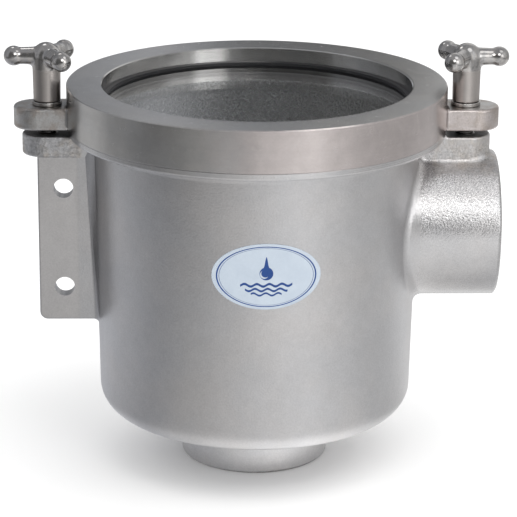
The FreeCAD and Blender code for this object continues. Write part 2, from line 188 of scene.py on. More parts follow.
class Mat(Tree):
    def __init__(self, name):
        self.mat = bpy.data.materials.new(name)
        self.mat.use_nodes = True
        super().__init__(self.mat.node_tree)
        self.out = self.node("ShaderNodeOutputMaterial")
        self.b = self.node("ShaderNodeBsdfPrincipled")
        self.t.links.new(self.b.outputs[0], self.out.inputs["Surface"])
        tc = self.node("ShaderNodeTexCoord")
        self.p = tc.outputs["Object"]
        sep = self.node("ShaderNodeSeparateXYZ")
        self.put(sep.inputs[0], self.p)
        self.x, self.y, self.z = sep.outputs
        self._n = None

    def set(self, **kw):
        for k, v in kw.items():
            self.put(self.b.inputs[k.replace("_", " ")], v)

    @property
    def r(self):
        """distance from the bowl's axis"""
        return self.m("SQRT", self.add(self.mul(self.x, self.x), self.mul(self.y, self.y)))

    def around(self, cx, cy):
        """distance from an upright axis at (cx, cy)"""
        dx, dy = self.sub(self.x, cx), self.sub(self.y, cy)
        return self.m("SQRT", self.add(self.mul(dx, dx), self.mul(dy, dy)))

    @property
    def normal(self):
        if self._n is None:
            g = self.node("ShaderNodeNewGeometry")
            s = self.node("ShaderNodeSeparateXYZ")
            self.put(s.inputs[0], g.outputs["True Normal"])
            self._n = s.outputs
        return self._n

    def turned(self, rr, scale_r, scale_z, stretch=3.0, seed=0.0):
        """fine rings left by a lathe: noise that hardly changes round the axis"""
        ang = self.m("ARCTAN2", self.y, self.x)
        v = self.vec(self.mul(rr, scale_r), self.mul(self.m("SINE", ang), stretch), self.add(self.mul(self.z, scale_z), self.mul(self.m("COSINE", ang), stretch)))
        return self.noise(v, 1.0, 4.0, 0.7, 0.0, seed)

    def edge(self, radius=0.6 * MM):
        """near 1 along sharp edges, from how far a rounded normal leans from the plain one"""
        bev = self.node("ShaderNodeBevel", samples=4)
        bev.inputs["Radius"].default_value = radius
        g = self.node("ShaderNodeNewGeometry")
        d = self.node("ShaderNodeVectorMath", operation="DOT_PRODUCT")
        self.put(d.inputs[0], bev.outputs[0])
        self.put(d.inputs[1], g.outputs["Normal"])
        return self.ramp01(d.outputs["Value"], 0.985, 0.86)


def crevice_shade_and_grime(k, dist=5.0 * MM, lo=0.62, hi=0.18):
    """1 deep in gaps and corners, 0 in the open"""
    # painted shade: callers darken base colour by this mask, so gaps and corners look shaded
    n = k.node("ShaderNodeAmbientOcclusion", samples=6)
    n.inputs["Distance"].default_value = dist
    return k.ramp01(n.outputs["AO"], lo, hi)


def wear(node, mat):
    o = NODES[node]
    o.data.materials.clear()
    o.data.materials.append(mat)


STEEL = (0.60, 0.588, 0.570, 1.0)


def cast_body():
    """Blasted casting, with its turned, drilled and rough as-cast places"""
    k = Mat("cast_body")
    nx, ny, nz = k.normal
    r = k.r
    # places
    port_r = k.m("SQRT", k.add(k.mul(k.y, k.y), k.m("POWER", k.sub(k.z, 0.1225), 2.0)))
    port_bore = k.both(k.ramp01(port_r, 0.0293, 0.0287), k.ramp01(k.x, 0.080, 0.083))
    out_bore = k.both(k.ramp01(r, 0.0293, 0.0287), k.ramp01(k.z, 0.0262, 0.0255))
    port_face = k.ramp01(k.x, 0.1202, 0.1206)
    out_face = k.ramp01(k.z, 0.0007, 0.0003)
    mouth = k.both(k.ramp01(k.z, 0.1701, 0.1704), k.ramp01(r, 0.0955, 0.0945))
    lug_hole_l = k.ramp01(k.around(-0.1046, 0.0), 0.0054, 0.0052)
    lug_hole_r = k.ramp01(k.around(0.1046, 0.0), 0.0054, 0.0052)
    cut = k.either(port_bore, out_bore, port_face, out_face, mouth, lug_hole_l, lug_hole_r)
    plate = k.both(k.ramp01(k.x, -0.0885, -0.0905), k.ramp01(k.z, 0.1594, 0.1582), k.ramp01(k.m("ABSOLUTE", ny), 0.9, 0.98))
    inside = k.both(k.ramp01(r, 0.0784, 0.0779), k.ramp01(k.z, 0.0262, 0.027), k.ramp01(k.z, 0.172, 0.170), k.ramp01(k.x, 0.0795, 0.079))
    nr = k.div(k.add(k.mul(nx, k.x), k.mul(ny, k.y)), k.add(r, 0.0001))
    outer_skin = k.both(k.either(k.ramp01(nr, 0.02, 0.10), k.ramp01(nz, -0.3, -0.5)), k.ramp01(k.z, 0.065, 0.060))
    inside = k.both(inside, k.inv(outer_skin))
    lug_l = k.both(k.ramp01(k.x, -0.086, -0.089), k.ramp01(k.z, 0.1582, 0.1594))
    lug_r = k.both(k.ramp01(k.x, 0.086, 0.090), k.ramp01(k.z, 0.150, 0.156))
    rough_cast = k.m("MAXIMUM", k.either(k.mul(lug_l, 0.9), k.mul(lug_r, 0.7)), inside)
    blast = k.noise(k.p, 1150.0, 3.0, 0.62)
    sand = k.noise(k.p, 640.0, 4.0, 0.66, 0.3, 3.0)
    sand2 = k.cells(k.p, 900.0)
    wave = k.noise(k.p, 62.0, 3.0, 0.5, 0.0, 7.0)
    cloud = k.noise(k.p, 21.0, 4.0, 0.6, 0.3, 11.0)
    mottle = k.noise(k.p, 240.0, 3.0, 0.6, 0.0, 5.0)
    rings = k.turned(r, 9000.0, 9000.0)
    ringp = k.noise(k.vec(k.mul(port_r, 9000.0), k.mul(k.x, 9000.0), 0.0), 1.0, 3.0, 0.7)
    edge = k.edge(0.7 * MM)
    # colour
    v = k.lerp(0.5, 1.0, k.ramp01(cloud, 0.30, 0.70))
    v = k.add(0.955, k.mul(v, 0.07))
    v = k.add(v, k.mul(k.sub(mottle, 0.5), 0.15))
    v = k.add(v, k.mul(k.sub(k.noise(k.p, 70.0, 4.0, 0.6, 0.5, 23.0), 0.5), 0.14))
    v = k.add(v, k.mul(k.sub(blast, 0.5), 0.34))
    v = k.add(v, k.mul(rough_cast, k.mul(k.sub(sand, 0.52), k.lerp(lug_l, 0.95, 1.9))))
    v = k.mul(v, k.lerp(inside, 1.0, 0.90))
    boss = k.both(k.ramp01(k.x, 0.076, 0.084), k.ramp01(port_r, 0.046, 0.041))
    coarse = k.both(boss, k.ramp01(k.z, 0.121, 0.134), k.inv(cut))
    v = k.add(v, k.mul(coarse, k.mul(k.sub(blast, 0.53), 1.1)))
    # painted highlight: base colour lightened along sharp edges
    v = k.add(v, k.mul(edge, 0.10))
    rim = k.both(k.ramp01(r, 0.0900, 0.0925), k.ramp01(k.z, 0.1675, 0.1690), k.inv(k.either(lug_l, lug_r)))
    v = k.mul(v, k.lerp(rim, 1.0, 1.05))
    # painted shadow: a thin darker line along the step where the flange band meets the body wall, broken up by noise
    step_shadow_line = k.both(k.ramp01(k.z, 0.16945, 0.1699), k.ramp01(k.z, 0.1704, 0.1700), k.ramp01(r, 0.0825, 0.0835), k.inv(k.either(lug_l, lug_r)))
    v = k.mul(v, k.sub(1.0, k.mul(step_shadow_line, k.mul(0.42, k.ramp01(k.noise(k.p, 30.0, 3.0, 0.6, 0.0, 31.0), 0.36, 0.56)))))
    # painted shade: base colour darkened by up to 72% in gaps and corners found by ambient occlusion, kept off the
    # bottom 6 mm and most of the flange rim; the same mask also partly browns these places with stain and roughens
    # them
    crevice_shade_and_dirt = k.both(crevice_shade_and_grime(k, 6.0 * MM, 0.66, 0.25), k.ramp01(k.z, 0.006, 0.012), k.inv(k.mul(rim, 0.8)))
    v = k.mul(v, k.sub(1.0, k.mul(crevice_shade_and_dirt, 0.72)))
    warm = k.mixc(k.ramp01(cloud, 0.35, 0.68), (0.582, 0.580, 0.590, 1), (0.598, 0.584, 0.582, 1))
    warm = k.mixc(k.mul(plate, 0.8), warm, (0.606, 0.590, 0.584, 1))
    stain = k.both(k.either(lug_l, k.mul(lug_r, 0.8), crevice_shade_and_dirt), k.ramp01(k.noise(k.p, 120.0, 4.0, 0.6, 0.4, 13.0), 0.42, 0.66))
    warm = k.mixc(k.mul(stain, 0.7), warm, (0.54, 0.490, 0.440, 1))
    k.set(Base_Color=k.tint(warm, v), Metallic=1.0)
    # finish
    rough = k.add(0.35, k.mul(k.sub(mottle, 0.5), 0.10))
    rough = k.lerp(boss, rough, k.add(0.21, k.mul(k.sub(mottle, 0.5), 0.10)))
    rough = k.lerp(rough_cast, rough, k.add(k.lerp(inside, 0.40, 0.27), k.mul(k.sub(sand, 0.5), 0.30)))
    rough = k.lerp(plate, rough, k.add(0.33, k.mul(k.sub(mottle, 0.5), 0.08)))
    rough = k.lerp(cut, rough, k.add(0.22, k.mul(k.sub(rings, 0.5), 0.16)))
    rough = k.add(k.sub(rough, k.mul(edge, 0.06)), k.add(k.mul(crevice_shade_and_dirt, 0.15), k.mul(rim, 0.06)))
    k.set(Roughness=rough)
    blast_h = k.mul(blast, k.lerp(boss, 1.5, k.lerp(k.ramp01(k.z, 0.122, 0.134), 1.6, 3.4)))
    cast_h = k.lerp(rough_cast, blast_h, k.mul(k.add(k.mul(sand, 4.2), k.mul(sand2, 1.5)), k.lerp(inside, 1.0, 2.2)))
    cast_h = k.lerp(plate, cast_h, k.mul(blast, 0.40))
    lathe = k.mul(k.lerp(k.either(port_bore, port_face), rings, ringp), 0.12)
    h = k.lerp(cut, cast_h, lathe)
    n1 = k.bump(k.mul(k.mul(wave, k.inv(cut)), 1.0), 0.10 * MM)
    k.set(Normal=k.bump(h, 0.075 * MM, n1))
    return k.mat


def turned_ring():
    """Cover ring: turned all over, its two lugs milled and blasted"""
    k = Mat("turned_ring")
    nx, ny, nz = k.normal
    r = k.r
    lug = k.both(k.ramp01(r, 0.0953, 0.0957), k.ramp01(k.m("ABSOLUTE", k.x), 0.088, 0.092))
    flat = k.ramp01(k.m("ABSOLUTE", nz), 0.90, 0.97)
    face = k.turned(r, 5200.0, 0.0, 2.0)
    side = k.turned(r, 0.0, 5200.0, 2.0, 4.0)
    rings = k.lerp(flat, side, face)
    broad = k.turned(r, 700.0, 700.0, 1.2, 9.0)
    cloud = k.noise(k.p, 26.0, 4.0, 0.6, 0.3, 2.0)
    blast = k.noise(k.p, 1200.0, 3.0, 0.6)
    mottle = k.noise(k.p, 230.0, 3.0, 0.6, 0.0, 5.0)
    edge = k.edge(0.5 * MM)
    v = k.add(0.97, k.mul(k.sub(rings, 0.5), k.mul(0.035, k.inv(lug))))
    v = k.add(v, k.mul(k.sub(broad, 0.5), 0.10))
    v = k.add(v, k.mul(k.sub(blast, 0.5), k.add(0.12, k.mul(lug, 0.45))))
    v = k.add(v, k.mul(k.sub(cloud, 0.5), 0.12))
    v = k.add(v, k.mul(k.sub(k.noise(k.p, 95.0, 4.0, 0.62, 0.6, 21.0), 0.5), 0.30))
    # painted highlight: base colour lightened along the ring's edges, much more along the outer top edge, broken into
    # dashes by the nick noise
    nick = k.noise(k.p, 340.0, 3.0, 0.7, 0.0, 17.0)
    crown = k.both(k.ramp01(r, 0.0928, 0.0934), k.ramp01(k.z, 0.1925, 0.1932))
    v = k.add(v, k.mul(edge, k.lerp(crown, k.add(0.14, k.mul(k.sub(nick, 0.5), 0.95)), k.add(0.40, k.mul(k.sub(nick, 0.5), 2.2)))))
    col = k.mixc(k.ramp01(cloud, 0.35, 0.68), (0.575, 0.573, 0.572, 1), (0.590, 0.578, 0.562, 1))
    outer = k.both(k.ramp01(r, 0.0935, 0.0945), k.inv(flat))
    rosy = k.both(outer, k.ramp01(k.add(k.x, k.mul(k.sub(cloud, 0.5), 0.04)), -0.035, 0.0))
    col = k.mixc(k.mul(rosy, 0.9), col, (0.618, 0.562, 0.548, 1))
    # painted shade: base colour darkened by up to 70% in gaps and corners found by ambient occlusion, on the outer
    # part of the ring
    crevice_shade_and_dirt = k.both(crevice_shade_and_grime(k, 5.0 * MM, 0.66, 0.25), k.ramp01(r, 0.086, 0.092))
    stain = k.both(lug, k.ramp01(k.noise(k.p, 110.0, 4.0, 0.6, 0.4, 13.0), 0.40, 0.62))
    col = k.mixc(k.mul(stain, 0.75), col, (0.43, 0.375, 0.335, 1))
    v = k.mul(v, k.sub(1.0, k.mul(crevice_shade_and_dirt, 0.70)))
    k.set(Base_Color=k.tint(col, v), Metallic=1.0)
    bore = k.ramp01(r, 0.0786, 0.0780)
    rough = k.add(0.26, k.mul(k.sub(rings, 0.5), 0.05))
    rough = k.lerp(bore, rough, 0.16)
    rough = k.add(rough, k.mul(k.sub(mottle, 0.5), 0.06))
    rough = k.lerp(lug, rough, k.add(0.34, k.mul(k.sub(mottle, 0.5), 0.10)))
    k.set(Roughness=k.sub(rough, k.mul(edge, 0.05)))
    k.set(Anisotropic=0.55, Anisotropic_Rotation=0.25)
    tg = k.node("ShaderNodeTangent", direction_type="RADIAL", axis="Z")
    k.put(k.b.inputs["Tangent"], tg.outputs[0])
    h = k.lerp(lug, k.mul(rings, 0.05), k.mul(blast, 1.6))
    n1 = k.bump(k.noise(k.p, 48.0, 2.0, 0.5, 0.0, 8.0), 0.03 * MM)
    k.set(Normal=k.bump(h, 0.06 * MM, n1))
    return k.mat


def knob_metal(name, cx):
    """Hand knob: polished cast head, satin turned stem"""
    k = Mat(name)
    rr = k.around(cx, 0.0)
    stem = k.both(k.ramp01(rr, 0.0081, 0.0075), k.ramp01(k.z, 0.2030, 0.2015))
    foot = k.ramp01(k.z, 0.1866, 0.1860)
    ang = k.m("ARCTAN2", k.y, k.sub(k.x, cx))
    marks = k.noise(k.vec(k.mul(k.m("SINE", ang), 1.5), k.mul(k.z, 3800.0), k.mul(k.m("COSINE", ang), 1.5)), 1.0, 4.0, 0.7)
    smear = k.noise(k.vec(k.mul(k.sub(k.x, cx), 420.0), k.mul(k.y, 420.0), k.mul(k.z, 130.0)), 1.0, 4.0, 0.6, 0.4)
    peel = k.noise(k.p, 190.0, 2.0, 0.5)
    pits = k.ramp01(k.cells(k.p, 620.0), 0.16, 0.05)
    edge = k.edge(0.5 * MM)
    v = k.add(0.96, k.mul(k.sub(smear, 0.5), 0.12))
    v = k.sub(v, k.mul(pits, 0.10))
    patch = k.both(k.ramp01(k.noise(k.p, 170.0, 4.0, 0.65, 0.5, 9.0), 0.50, 0.64), k.inv(k.m("MAXIMUM", stem, foot)))
    v = k.sub(v, k.mul(patch, 0.26))
    v = k.add(v, k.mul(stem, k.mul(k.sub(marks, 0.5), 0.16)))
    # painted highlight: base colour lightened along sharp edges
    v = k.add(v, k.mul(edge, 0.06))
    col = k.mixc(k.ramp01(smear, 0.35, 0.7), (0.500, 0.492, 0.490, 1), (0.555, 0.530, 0.510, 1))
    col = k.mixc(k.mul(stem, 0.8), col, (0.520, 0.480, 0.455, 1))
    # painted shade: base colour darkened by up to half in gaps and corners found by ambient occlusion
    crevice_shade_and_dirt = crevice_shade_and_grime(k, 3.0 * MM, 0.70, 0.25)
    v = k.mul(v, k.sub(1.0, k.mul(crevice_shade_and_dirt, 0.5)))
    k.set(Base_Color=k.tint(col, v), Metallic=1.0)
    rough = k.add(0.15, k.mul(k.sub(smear, 0.45), 0.16))
    rough = k.add(rough, k.mul(pits, 0.10))
    rough = k.lerp(k.m("MAXIMUM", stem, foot), rough, k.add(0.31, k.mul(k.sub(marks, 0.5), 0.12)))
    k.set(Roughness=rough)
    h = k.lerp(stem, k.sub(k.mul(smear, 0.10), k.mul(pits, 0.20)), k.mul(marks, 0.16))
    n1 = k.bump(peel, 0.034 * MM)
    n1 = k.bump(k.mul(k.noise(k.p, 430.0, 2.0, 0.5, 0.3, 4.0), k.inv(k.m("MAXIMUM", stem, foot))), 0.034 * MM, n1)
    k.set(Normal=k.bump(h, 0.05 * MM, n1))
    return k.mat


def turned_small(name, cx, cy=0.0, axis="z"):
    """Machined washers, studs and threads"""
    k = Mat(name)
    rr = k.around(cx, cy)
    ang = k.m("ARCTAN2", k.sub(k.y, cy), k.sub(k.x, cx))
    along = k.z
    marks = k.noise(k.vec(k.mul(rr, 5200.0), k.mul(along, 5200.0), k.mul(k.m("SINE", ang), 1.6)), 1.0, 4.0, 0.7)
    cloud = k.noise(k.p, 150.0, 3.0, 0.6)
    v = k.add(0.94, k.mul(k.sub(marks, 0.5), 0.16))
    v = k.add(v, k.mul(k.sub(cloud, 0.5), 0.12))
    # painted shade: base colour darkened by up to 35% in gaps and corners found by ambient occlusion
    v = k.mul(v, k.sub(1.0, k.mul(crevice_shade_and_grime(k, 2.5 * MM, 0.75, 0.35), 0.35)))
    k.set(Base_Color=k.tint((0.50, 0.485, 0.470, 1), v), Metallic=1.0)
    k.set(Roughness=k.add(0.22, k.add(k.mul(k.sub(marks, 0.5), 0.14), k.mul(k.sub(cloud, 0.5), 0.08))))
    k.set(Normal=k.bump(marks, 0.006 * MM))
    return k.mat


def port_thread_metal():
    """Freshly cut pipe thread: bright flanks with fine tool marks and a film of oil stain"""
    k = Mat("cut_thread")
    tool = k.noise(k.scale(k.p, (2600.0, 2600.0, 2600.0)), 1.0, 3.0, 0.7)
    stain = k.noise(k.p, 120.0, 4.0, 0.65, 0.5)
    v = k.add(0.90, k.mul(k.sub(tool, 0.5), 0.20))
    v = k.sub(v, k.mul(k.ramp01(stain, 0.5, 0.8), 0.18))
    k.set(Base_Color=k.tint(STEEL, v), Metallic=1.0)
    k.set(Roughness=k.add(0.24, k.add(k.mul(k.sub(tool, 0.5), 0.12), k.mul(k.ramp01(stain, 0.4, 0.8), 0.12))))
    k.set(Normal=k.bump(tool, 0.006 * MM))
    return k.mat


def sheet_metal(name):
    """Rolled sheet for the basket: fine grain one way, a few scuffs"""
    k = Mat(name)
    ang = k.m("ARCTAN2", k.y, k.x)
    grain = k.noise(k.vec(k.mul(k.m("SINE", ang), 9.0), k.mul(k.m("COSINE", ang), 9.0), k.mul(k.z, 5200.0)), 1.0, 4.0, 0.7)
    flatg = k.noise(k.vec(k.mul(k.x, 60.0), k.mul(k.y, 4200.0), 0.0), 1.0, 4.0, 0.7)
    nz = k.normal[2]
    g = k.lerp(k.ramp01(k.m("ABSOLUTE", nz), 0.8, 0.95), grain, flatg)
    cloud = k.noise(k.p, 70.0, 4.0, 0.6, 0.3)
    v = k.add(0.93, k.add(k.mul(k.sub(g, 0.5), 0.14), k.mul(k.sub(cloud, 0.5), 0.12)))
    k.set(Base_Color=k.tint((0.61, 0.60, 0.59, 1), v), Metallic=1.0)
    k.set(Roughness=k.add(0.25, k.add(k.mul(k.sub(g, 0.5), 0.14), k.mul(k.sub(cloud, 0.5), 0.10))))
    k.set(Normal=k.bump(g, 0.006 * MM))
    return k.mat


def wire_metal():
    """Drawn wire: marks run along the wire"""
    k = Mat("drawn_wire")
    ang = k.m("ARCTAN2", k.y, k.x)
    draw = k.noise(k.vec(k.mul(k.r, 5200.0), k.mul(k.z, 5200.0), k.mul(k.m("SINE", ang), 3.0)), 1.0, 3.0, 0.7)
    cloud = k.noise(k.p, 160.0, 3.0, 0.6)
    v = k.add(0.93, k.add(k.mul(k.sub(draw, 0.5), 0.14), k.mul(k.sub(cloud, 0.5), 0.10)))
    k.set(Base_Color=k.tint((0.62, 0.61, 0.60, 1), v), Metallic=1.0)
    k.set(Roughness=k.add(0.20, k.add(k.mul(k.sub(draw, 0.5), 0.12), k.mul(k.sub(cloud, 0.5), 0.10))))
    k.set(Normal=k.bump(draw, 0.006 * MM))
    return k.mat


def rubber():
    k = Mat("black_rubber_seal")
    fine = k.noise(k.p, 2600.0, 3.0, 0.6)
    dust = k.noise(k.p, 210.0, 5.0, 0.65, 0.3)
    d = k.ramp01(dust, 0.52, 0.78)
    k.set(Base_Color=k.mixc(k.mul(d, 0.35), (0.014, 0.014, 0.016, 1), (0.075, 0.074, 0.072, 1)))
    k.set(Roughness=k.add(0.46, k.add(k.mul(k.sub(fine, 0.5), 0.14), k.mul(d, 0.16))))
    k.set(Normal=k.bump(fine, 0.02 * MM))
    return k.mat


def clear_window():
    """Cast acrylic disc. Its shadow rays pass, so the light that falls through it reaches the bowl."""
    k = Mat("clear_window_pane")
    haze = k.noise(k.p, 60.0, 4.0, 0.6, 0.4)
    fine = k.noise(k.vec(k.mul(k.x, 130.0), k.mul(k.y, 3200.0), k.mul(k.z, 130.0)), 1.0, 2.0, 0.6)
    k.set(Base_Color=k.mixc(k.ramp01(haze, 0.3, 0.7), (0.965, 0.985, 0.982, 1), (0.985, 0.992, 0.990, 1)))
    k.set(Roughness=k.mul(k.ramp01(fine, 0.70, 0.84), 0.03))
    k.b.inputs["Transmission Weight"].default_value = 1.0
    k.b.inputs["IOR"].default_value = 1.49
    k.set(Normal=k.bump(haze, 0.002 * MM))
    lp = k.node("ShaderNodeLightPath")
    tr = k.node("ShaderNodeBsdfTransparent")
    k.put(tr.inputs["Color"], (0.90, 0.93, 0.925, 1))
    mix = k.node("ShaderNodeMixShader")
    k.put(mix.inputs[0], lp.outputs["Is Shadow Ray"])
    k.put(mix.inputs[1], k.b.outputs[0])
    k.put(mix.inputs[2], tr.outputs[0])
    k.put(k.out.inputs["Surface"], mix.outputs[0])
    return k.mat


LABEL_C = (2.9 * MM, 119.6 * MM)
LABEL_AB = (26.2 * MM, 16.6 * MM)


def label_film():
    """Oval film with a plain generic print: a border, a drop over waves, and a rule"""
    k = Mat("label_print")
    u = k.div(k.sub(k.x, LABEL_C[0]), MM)          # mm from the label's middle
    w = k.div(k.sub(k.z, LABEL_C[1]), MM)
    a, b = LABEL_AB[0] / MM, LABEL_AB[1] / MM
    e = k.m("SQRT", k.add(k.m("POWER", k.div(u, a), 2.0), k.m("POWER", k.div(w, b), 2.0)))
    blur = 0.10
    # thin border line
    bd = k.m("ABSOLUTE", k.sub(e, 0.905))
    border = k.ramp01(bd, 0.017, 0.010)
    bd2 = k.m("ABSOLUTE", k.sub(e, 0.862))
    border2 = k.ramp01(bd2, 0.008, 0.003)
    # drop: a round foot and a pointed top
    cx, cy, rad = 0.0, 1.6, 3.3
    du, dw = k.sub(u, cx), k.sub(w, cy)
    dd = k.m("SQRT", k.add(k.mul(du, du), k.mul(dw, dw)))
    ball = k.ramp01(dd, rad + blur, rad - blur)
    top = 8.6
    half = k.mul(k.sub(top, dw), rad * 0.93 / (top - 1.15))
    half = k.mul(half, k.sub(1.0, k.mul(0.025, k.m("MULTIPLY", dw, k.sub(top, dw)))))
    cone = k.both(k.ramp01(k.sub(k.m("ABSOLUTE", du), half), blur, -blur), k.ramp01(dw, 1.0, 1.2), k.ramp01(dw, top, top - 0.1))
    drop = k.m("MAXIMUM", ball, cone)
    glint_d = k.m("SQRT", k.add(k.m("POWER", k.add(du, 1.0), 2.0), k.m("POWER", k.add(dw, 0.4), 2.0)))
    glint = k.both(k.ramp01(glint_d, 2.15, 2.0), k.ramp01(k.m("SQRT", k.add(k.m("POWER", k.add(du, 0.45), 2.0), k.m("POWER", k.sub(dw, 0.15), 2.0))), 1.95, 2.1))
    drop = k.both(drop, k.inv(glint))
    # three waves under it
    waves = None
    for i, (zz, hw, ln) in enumerate(((-4.2, 0.62, 12.5), (-6.6, 0.55, 10.2), (-8.8, 0.48, 7.4))):
        s = k.mul(k.m("SINE", k.add(k.mul(u, 1.05), 0.9 * i)), 0.62)
        d = k.m("ABSOLUTE", k.sub(k.sub(w, zz), s))
        line = k.both(k.ramp01(d, hw + blur, hw - blur), k.ramp01(k.m("ABSOLUTE", u), ln + 0.1, ln - 0.1))
        waves = line if waves is None else k.m("MAXIMUM", waves, line)
    ink = k.either(border, k.mul(border2, 0.8), drop, waves)
    paper = k.noise(k.p, 900.0, 3.0, 0.6)
    soil = k.noise(k.p, 90.0, 4.0, 0.6, 0.4, 2.0)
    wornn = k.ramp01(k.noise(k.p, 420.0, 4.0, 0.7, 0.2, 6.0), 0.66, 0.80)
    base = k.mixc(k.ramp01(soil, 0.3, 0.75), (0.50, 0.565, 0.64, 1), (0.45, 0.515, 0.595, 1))
    base = k.tint(base, k.add(0.97, k.mul(k.sub(paper, 0.5), 0.08)))
    blue = k.mixc(k.ramp01(soil, 0.3, 0.7), (0.003, 0.040, 0.190, 1), (0.005, 0.052, 0.225, 1))
    k.set(Base_Color=k.mixc(k.mul(ink, k.sub(1.0, k.mul(wornn, 0.5))), base, blue))
    k.set(Roughness=k.add(k.lerp(ink, 0.34, 0.42), k.mul(k.sub(soil, 0.5), 0.12)))
    k.b.inputs["Specular IOR Level"].default_value = 0.35
    k.b.inputs["Coat Weight"].default_value = 0.12
    k.b.inputs["Coat Roughness"].default_value = 0.22
    k.set(Normal=k.bump(k.add(k.mul(paper, 0.5), k.mul(ink, 0.5)), 0.008 * MM))
    return k.mat


# ---------------------------------------------------------------- pieces
def obj_from(name, verts, faces, mat, smooth=True):
    me = bpy.data.meshes.new(name)
    me.from_pydata([tuple(v) for v in verts], [], faces)
    me.validate()
    me.update()
    if smooth:
        me.polygons.foreach_set("use_smooth", [True] * len(me.polygons))
    o = bpy.data.objects.new(name, me)
    SC.collection.objects.link(o)
    me.materials.append(mat)
    return o


def helix_ridge(name, mat, place, r_root, r_crest, pitch, length, seg=96, fade=1.0, root_w=0.94, crest_w=0.30):
    """A closed helical ridge from r_root to r_crest. place(r, ang, along) gives the point. It fades in and out at its ends."""
    turns = length / pitch - 1.0
    n = int(turns * seg)
    verts, faces = [], []
    for i in range(n + 1):
        a = 2 * math.pi * i / seg
        c = pitch * 0.5 + pitch * i / seg
        t = min(1.0, i / (seg * fade), (n - i) / (seg * fade))
        t = max(0.03, t * t * (3 - 2 * t))
        rc = r_root + (r_crest - r_root) * t
        hw, cw = pitch * root_w / 2, pitch * crest_w / 2
        cw = cw + (hw - cw) * 0.35 * (1 - t)
        for rr, off in ((r_root, -hw), (rc, -cw), (rc, cw), (r_root, hw)):
            verts.append(place(rr, a, c + off))
    for i in range(n):
        p, q = 4 * i, 4 * (i + 1)
        for j in range(4):
            k2 = (j + 1) % 4
            faces.append((p + j, p + k2, q + k2, q + j))
    faces.append((0, 3, 2, 1))
    faces.append((4 * n, 4 * n + 1, 4 * n + 2, 4 * n + 3))
    return obj_from(name, verts, faces, mat, smooth=True)


def flat_sharp(o, deg=35):
    """smooth shading with hard edges kept"""
    me = o.data
    me.polygons.foreach_set("use_smooth", [True] * len(me.polygons))
    me.set_sharp_from_angle(angle=math.radians(deg))


def threaded_stud(name, cx, z0, z1, mat):
    """Stud with a helical M10 thread between chamfered ends, closed"""
    pitch, rmaj, rmin, seg = 1.5 * MM, 4.98 * MM, 4.16 * MM, 40
    prof = ((0.0, rmin), (0.12, rmin), (0.44, rmaj), (0.56, rmaj), (0.88, rmin))
    lo, hi = z0 + 0.6 * MM, z1 - 1.4 * MM
    turns = (hi - lo) / pitch
    n = int(turns * seg)
    m = len(prof)
    verts, faces = [], []
    for i in range(n + 1):
        a = 2 * math.pi * i / seg
        zc = lo - pitch + pitch * i / seg
        for (f, r) in prof:
            z = min(max(zc + f * pitch, lo), hi)
            zt = hi - z
            cap = rmin - 0.2 * MM + max(0.0, zt) * 0.9
            cap2 = rmin - 0.2 * MM + max(0.0, z - lo) * 0.9
            rr = min(r, max(cap, rmin * 0.96), max(cap2, rmin * 0.96))
            verts.append((cx + rr * math.cos(a), rr * math.sin(a), z))
    for i in range(n):
        for j in range(m - 1):
            p, q = m * i + j, m * (i + 1) + j
            faces.append((p, q, q + 1, p + 1))
    for i in range(n - seg + 1):                      # join each turn's end to the next turn's start
        p, q = m * i + m - 1, m * (i + seg)
        if i < n - seg:
            faces.append((p, p + m, q + m, q))
    o = obj_from(name, verts, faces, mat)
    flat_sharp(o, 25)
    return o


def oval_label(mat):
    """The printed film, wrapped on the tapered wall with a soft rolled edge"""
    def wall(z):
        return (79.56 + (82.0 - 79.56) * (z / MM - 39.0) / 125.0) * MM
    rings_n, seg, t = 9, 128, 0.26 * MM
    fr = [0.0] + [i / rings_n for i in range(1, rings_n)] + [0.985, 0.996, 1.0]
    lift = [t] * (rings_n) + [t * 0.93, t * 0.62, -0.06 * MM]

    def pt(u, w, h):
        x, z = LABEL_C[0] + u, LABEL_C[1] + w
        r = wall(z)
        s = x / r
        ang = math.asin(max(-1, min(1, s)))
        return ((r + h) * math.sin(ang), -(r + h) * math.cos(ang), z)

    verts, faces = [pt(0, 0, lift[0])], []
    for q, h in zip(fr[1:], lift[1:]):
        for i in range(seg):
            a = 2 * math.pi * i / seg
            verts.append(pt(LABEL_AB[0] * q * math.cos(a), LABEL_AB[1] * q * math.sin(a), h))
    for i in range(seg):
        faces.append((0, 1 + i, 1 + (i + 1) % seg))
    for k in range(len(fr) - 2):
        for i in range(seg):
            j = (i + 1) % seg
            p, q = 1 + k * seg, 1 + (k + 1) * seg
            faces.append((p + i, q + i, q + j, p + j))
    back = len(verts)
    verts.append(pt(0, 0, -0.06 * MM))
    for q in range(1, 5):
        for i in range(seg):
            a = 2 * math.pi * i / seg
            f = 1.0 - q / 5.0
            verts.append(pt(LABEL_AB[0] * f * math.cos(a), LABEL_AB[1] * f * math.sin(a), -0.06 * MM))
    last = 1 + (len(fr) - 2) * seg
    prev = last
    for q in range(4):
        cur = back + 1 + q * seg
        for i in range(seg):
            j = (i + 1) % seg
            faces.append((prev + i, cur + i, cur + j, prev + j))
        prev = cur
    for i in range(seg):
        faces.append((prev + i, back, prev + (i + 1) % seg))
    o = obj_from("label_film_piece", verts, faces, mat)
    return o


# ---------------------------------------------------------------- materials on the CAD nodes
cast = cast_body()
ring = turned_ring()
wear("strainer_body", cast)
wear("cover_ring", ring)
for side, cx in (("left", -104.6 * MM), ("right", 104.6 * MM)):
    wear(side + "_hand_knob", knob_metal(side + "_knob_metal", cx))
    wear(side + "_washer", turned_small(side + "_washer_metal", cx))
for n in ("basket_wall", "basket_floor", "basket_rim", "basket_foot_band", "basket_left_ear", "basket_right_ear", "ear_rivets"):
    wear(n, sheet_metal(n + "_sheet") if n == "basket_wall" else bpy.data.materials["basket_wall_sheet"])
wear("basket_handle", wire_metal())
wear("window_gasket", rubber())
wear("bowl_seal", bpy.data.materials["black_rubber_seal"])
wear("sight_window", clear_window())

